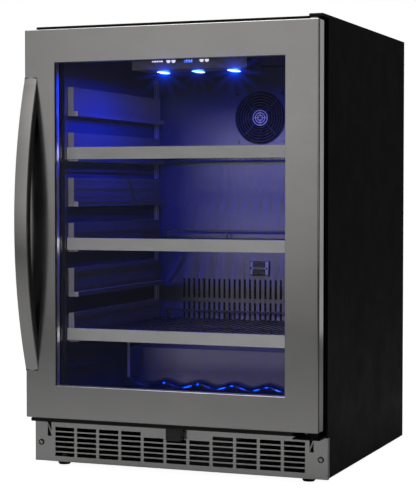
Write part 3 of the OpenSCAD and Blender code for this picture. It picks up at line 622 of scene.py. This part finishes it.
def window_trim():
    """A lighter chamfered edge round the window's opening in the steel."""
    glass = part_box("glass_panes")
    skin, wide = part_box("door_frame"), 0.6 * MM
    seat = 8 * MM
    x0, x1 = glass[0].x + seat, glass[1].x - seat
    z0, z1 = glass[0].z + seat, glass[1].z - seat
    face = skin[0].y + 0.1 * MM
    bm = bmesh.new()
    rows = [[(x0, face, z0), (x1, face, z0), (x1, face, z1), (x0, face, z1)],
            [(x0 + wide, face + wide, z0 + wide), (x1 - wide, face + wide, z0 + wide),
             (x1 - wide, face + wide, z1 - wide), (x0 + wide, face + wide, z1 - wide)],
            [(x0, face + wide, z0), (x1, face + wide, z0), (x1, face + wide, z1), (x0, face + wide, z1)]]
    made = [[bm.verts.new(p) for p in row] for row in rows]
    for a, b in ((0, 1), (1, 2), (2, 0)):
        for k in range(4):
            m = (k + 1) % 4
            bm.faces.new((made[a][k], made[a][m], made[b][m], made[b][k]))
    piece("window_trim", bm, "door", "dark_stainless", material=CHROME)


window_trim()


def door_seams():
    """The dark joint between the door's steel face and its edge band, on both sides."""
    lo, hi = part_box("door_frame")
    bm = bmesh.new()
    near, far, proud = 1.6 * MM, 6.4 * MM, 0.12 * MM
    for x0, x1 in ((lo.x - proud, lo.x + proud), (hi.x - proud, hi.x + proud)):
        block(bm, (x0, lo.y + near, lo.z + 2 * MM), (x1, lo.y + far, hi.z - 2 * MM))
    piece("door_edge_seams", bm, "door", "black_plastic", bevel=0.05 * MM)


door_seams()


def liner_ribs():
    """Upright ribs on the side walls by the evaporator cover and the step, and the seam above the cover."""
    wall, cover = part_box("shelf_runners"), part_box("evaporator_cover")
    bm = bmesh.new()
    proud, broad, short_of_top = 1.6 * MM, 2 * MM, 30 * MM
    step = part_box("bottle_rack")[1].y + 4 * MM
    under_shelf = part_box("shelf_rack_bottom")[0].z - 4 * MM
    for side in (-1, 1):
        x = side * (wall[1].x - wall[0].x) / 2
        for back in (32, 23, 14):
            y = cover[0].y - back * MM
            block(bm, (min(x, x - side * proud), y, cover[0].z),
                  (max(x, x - side * proud), y + broad, cover[1].z - short_of_top))
        for back in (8, 3):
            block(bm, (min(x, x - side * 2 * proud), step - back * MM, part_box("bottle_rack")[0].z),
                  (max(x, x - side * 2 * proud), step - back * MM + broad, under_shelf))
    # The ribs take the lighter grey: painted light.
    piece("liner_ribs", bm, "cabinet", "runner_plastic", material=RIB_LIT, bevel=0.5 * MM)
    seam = bmesh.new()
    block(seam, (cover[0].x, cover[0].y - 0.4 * MM, cover[1].z - 5 * MM),
          (cover[1].x, cover[0].y, cover[1].z - 2.5 * MM))
    piece("cover_seam", seam, "cabinet", "black_plastic")


liner_ribs()

EDGE_ROUNDING = {                                # in mm, on edges that show
    "shelf_trim_top": 0.5, "shelf_trim_middle": 0.5, "shelf_trim_bottom": 0.5, "shelf_runners": 0.8,
    "sensor_cover": 1.0, "kick_plate": 0.35, "lock_housing": 0.8, "top_hinge_cap": 0.8,
    "control_fascia": 0.6, "control_housing": 0.8, "outer_wrapper": 0.4,
    "door_gasket": 1.0, "power_cord": 0.8, "lock_barrel": 0.3,
}
for name, width in EDGE_ROUNDING.items():
    soften(nodes[name], width * MM)


# ---- Lamps, studio and camera ----

def area(name, place, target, size, power, color=(1, 1, 1), shape="RECTANGLE"):
    """An area light at place that faces target."""
    light = bpy.data.lights.new(name, "AREA")
    light.shape, light.energy, light.color = shape, power, color
    light.size = size[0]
    if shape == "RECTANGLE":
        light.size_y = size[1]
    obj = bpy.data.objects.new(name, light)
    obj.location = place
    obj.rotation_euler = (Vector(target) - Vector(place)).to_track_quat("-Z", "Y").to_euler()
    scene.collection.objects.link(obj)
    obj.visible_camera = False
    return obj


def only_on(light, *names):
    """Limits a light to the objects named."""
    group = bpy.data.collections.new(light.name + "_lights")
    for name in names:
        group.objects.link(bpy.data.objects[name])
    light.light_linking.receiver_collection = group


INSIDE = ["inner_liner", "shelf_runners", "evaporator_cover", "evap_fan_frame", "evap_fan_rotor",
          "fan_guard_wires", "fan_guard_hub", "fan_guard_screws", "sensor_cover", "control_housing",
          "control_fascia", "bottle_rack_wave", "shelf_rack_top", "shelf_rack_middle", "shelf_rack_bottom",
          "liner_ribs", "cover_seam", "cover_painted_shade", "sensor_window", "sensor_slats", "lamp_domes"]
TRIMS = ["shelf_trim_top", "shelf_trim_middle", "shelf_trim_bottom"]
JAMB = ["door_gasket", "glass_spacer"]
BACK = ["rear_panel", "rear_service_cover", "rear_cover_screws", "power_cord"]

LAMP_POWERS = (1.7, 0.9, 3.2)                    # from left to right
LAMP_BLUE = (0.0, 0.02, 1.0)
LAMP_SIZE = (1.2 * MM, 1.2 * MM)
down = Vector((0, 0, -1))
for i, (point, power) in enumerate(zip(lamp_points, LAMP_POWERS)):
    lamp = area(f"lamp_{i}", point + down * MM, point + down, LAMP_SIZE, power, color=LAMP_BLUE, shape="DISK")
    only_on(lamp, *INSIDE, *TRIMS, *JAMB)

middle = Vector((0, 0, 0.45))
area("overhead", (-0.3, -0.5, 2.6), middle, (2.2, 1.4), 34)
area("right_side", (2.6, -0.3, 1.2), middle, (0.8, 1.8), 5)
edge_light = area("edge_light", (1.25, 2.6, 0.5), (0.3, -0.27, 0.5), (1.2, 3.2), 4)
only_on(edge_light, "door_frame", "kick_plate")
fill = area("inside_fill", (-0.80, -3.0, 1.40), (0.1, 0.2, 0.45), (0.8, 0.6), 108, color=(0.90, 0.86, 1.0))
only_on(fill, *(name for name in INSIDE if name != "bottle_rack_wave"))
trim_fill = area("trim_fill", (1.9, -2.6, 0.5), (0, -0.25, 0.45), (0.8, 1.2), 58)
only_on(trim_fill, *TRIMS)
trim_fill.light_linking.blocker_collection = trim_fill.light_linking.receiver_collection
jamb_fill = area("jamb_fill", (0.9, -3.0, 0.9), (-0.25, -0.2, 0.45), (0.6, 0.8), 16, color=(0.92, 0.86, 1.0))
only_on(jamb_fill, "liner_ribs", "control_fascia", "fan_guard_hub", *JAMB)
runner_fill = area("runner_fill", (0.35, -3.0, 0.7), (-0.2, 0, 0.5), (0.5, 0.8), 75, color=(0.92, 0.9, 1.0))
only_on(runner_fill, "shelf_runners")
back_fill = area("back_fill", (-1.3, 3.0, 1.5), (0, 0.3, 0.4), (1.6, 1.2), 160)
only_on(back_fill, *BACK)

rack_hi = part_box("bottle_rack")[1]
GLINT_BLUE = (0.0, 0.04, 1.0)
GLINT_SIZE = (0.02, 0.02)
beside_crest = 34 * MM
for n in range(-3, 3):
    above = Vector((WAVE_CREST + beside_crest + WAVE_PITCH * n, rack_hi.y - 0.085, rack_hi.z + 0.09))
    aim = (above.x, rack_hi.y - 0.02, rack_hi.z)
    glint = area(f"rack_glint_{n}", above, aim, GLINT_SIZE, 0.3, color=GLINT_BLUE, shape="DISK")
    only_on(glint, "bottle_rack_wave")


def softbox():
    """The big soft light to the front left, which fades towards the floor and the left."""
    bm = bmesh.new()
    bmesh.ops.create_grid(bm, x_segments=1, y_segments=1, size=0.5)
    mesh = bpy.data.meshes.new("softbox")
    bm.to_mesh(mesh)
    bm.free()
    obj = bpy.data.objects.new("softbox", mesh)
    scene.collection.objects.link(obj)
    width, height = 2.8, 3.3
    place = Vector((-1.5, -3.1, 1.4))
    obj.location = place
    obj.rotation_euler = Vector((-place.x, -place.y, 0)).to_track_quat("Z", "Y").to_euler()
    obj.scale = (width, height, 1)
    mat = bpy.data.materials.new("softbox")
    mat.use_nodes = True
    tree = mat.node_tree
    tree.nodes.clear()
    coord = tree.nodes.new("ShaderNodeTexCoord")
    split = tree.nodes.new("ShaderNodeSeparateXYZ")
    rise = add(tree, "ShaderNodeMapRange", From_Min=-0.45, From_Max=-0.20, To_Min=0.38, To_Max=1.0)
    high = add(tree, "ShaderNodeMapRange", From_Min=-0.05, From_Max=0.35, To_Min=1.0, To_Max=1.7)
    left = add(tree, "ShaderNodeMapRange", From_Min=-0.10, From_Max=0.30, To_Min=1.0, To_Max=0.46)
    cloudy = spread(tree, noise(tree, (0.35, 0.35, 0.35), detail=1.0), 0.93, 1.07)
    emit = add(tree, "ShaderNodeEmission", Color=(1, 1, 1, 1))
    out = tree.nodes.new("ShaderNodeOutputMaterial")
    tree.links.new(coord.outputs["Object"], split.inputs["Vector"])
    tree.links.new(split.outputs["Y"], rise.inputs["Value"])
    tree.links.new(split.outputs["Y"], high.inputs["Value"])
    tree.links.new(split.outputs["X"], left.inputs["Value"])
    power = tree.nodes.new("ShaderNodeMath")
    power.operation = "MULTIPLY"
    power.inputs[1].default_value = 0.46
    shape = times(tree, times(tree, rise.outputs["Result"], high.outputs["Result"]), left.outputs["Result"])
    tree.links.new(times(tree, shape, cloudy), power.inputs[0])
    tree.links.new(power.outputs["Value"], emit.inputs["Strength"])
    tree.links.new(emit.outputs["Emission"], out.inputs["Surface"])
    mesh.materials.append(mat)
    obj.visible_camera = False
    obj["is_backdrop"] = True
    return obj


box = softbox()


def floor():
    """A pale floor that the camera sees as white, with the soft shadow of the object on it."""
    bm = bmesh.new()
    bmesh.ops.create_grid(bm, x_segments=1, y_segments=1, size=30)
    mesh = bpy.data.meshes.new("floor")
    bm.to_mesh(mesh)
    bm.free()
    obj = bpy.data.objects.new("floor", mesh)
    scene.collection.objects.link(obj)
    mat = bpy.data.materials.new("floor")
    mat.use_nodes = True
    tree = mat.node_tree
    shader = tree.nodes["Principled BSDF"]
    shader.inputs["Roughness"].default_value = 0.8
    shader.inputs["Base Color"].default_value = (0.5, 0.5, 0.5, 1)
    path = tree.nodes.new("ShaderNodeLightPath")
    lift = tree.nodes.new("ShaderNodeMath")
    lift.operation = "MULTIPLY"
    lift.inputs[1].default_value = 0.97
    tree.links.new(path.outputs["Is Camera Ray"], lift.inputs[0])
    shader.inputs["Emission Color"].default_value = (1, 1, 1, 1)
    tree.links.new(lift.outputs["Value"], shader.inputs["Emission Strength"])
    mesh.materials.append(mat)
    obj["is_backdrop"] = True


floor()
only_on(box, "floor", *(o.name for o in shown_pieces() if o.name not in INSIDE + TRIMS))


def world():
    """White to the camera, and a dim studio to everything else, darker towards the back."""
    made = bpy.data.worlds.new("studio")
    scene.world = made
    made.use_nodes = True
    tree = made.node_tree
    tree.nodes.clear()
    coord = tree.nodes.new("ShaderNodeTexCoord")
    split = tree.nodes.new("ShaderNodeSeparateXYZ")
    front = add(tree, "ShaderNodeMapRange", From_Min=-1.0, From_Max=1.0, To_Min=0.10, To_Max=0.07)
    dim = add(tree, "ShaderNodeBackground", Color=(0.96, 0.98, 1.0, 1))
    white = add(tree, "ShaderNodeBackground", Color=(1, 1, 1, 1), Strength=1.0)
    path = tree.nodes.new("ShaderNodeLightPath")
    mix = tree.nodes.new("ShaderNodeMixShader")
    out = tree.nodes.new("ShaderNodeOutputWorld")
    tree.links.new(coord.outputs["Generated"], split.inputs["Vector"])
    tree.links.new(split.outputs["Y"], front.inputs["Value"])
    tree.links.new(front.outputs["Result"], dim.inputs["Strength"])
    tree.links.new(path.outputs["Is Camera Ray"], mix.inputs["Fac"])
    tree.links.new(dim.outputs["Background"], mix.inputs[1])
    tree.links.new(white.outputs["Background"], mix.inputs[2])
    tree.links.new(mix.outputs["Shader"], out.inputs["Surface"])


world()

CAMERA_PLACE = (1.1404, -3.0021, 0.5469)
LOOK_DOWN, LOOK_LEFT = 2.122, 21.262             # degrees
lens = bpy.data.cameras.new("camera")
lens.lens, lens.sensor_width = 112.54, 36
camera = bpy.data.objects.new("camera", lens)
camera.location = CAMERA_PLACE
camera.rotation_euler = (math.radians(90 - LOOK_DOWN), 0, math.radians(LOOK_LEFT))
scene.collection.objects.link(camera)
scene.camera = camera

scene.view_settings.view_transform = "Standard"
scene.cycles.use_denoising = True
scene.cycles.max_bounces = 10
scene.cycles.diffuse_bounces = 1
scene.cycles.transparent_max_bounces = 12
scene.cycles.sample_clamp_indirect = 4.0


def lamp_rays():
    """Short blue rays round the lamps, as a lens shows them."""
    scene.use_nodes = True
    tree = scene.node_tree
    tree.nodes.clear()
    layers = tree.nodes.new("CompositorNodeRLayers")
    glare = tree.nodes.new("CompositorNodeGlare")
    glare.glare_type = "STREAKS"
    out = tree.nodes.new("CompositorNodeComposite")
    settings = {"Threshold": 5.0, "Strength": 3.0, "Tint": (0.0, 0.12, 1.0, 1.0), "Streaks": 11,
                "Streaks Angle": math.radians(12), "Fade": 0.62, "Iterations": 2,
                "Color Modulation": 0.0, "Saturation": 1.0}
    for key, value in settings.items():
        glare.inputs[key].default_value = value
    tree.links.new(layers.outputs["Image"], glare.inputs["Image"])
    tree.links.new(glare.outputs["Image"], out.inputs["Image"])


lamp_rays()
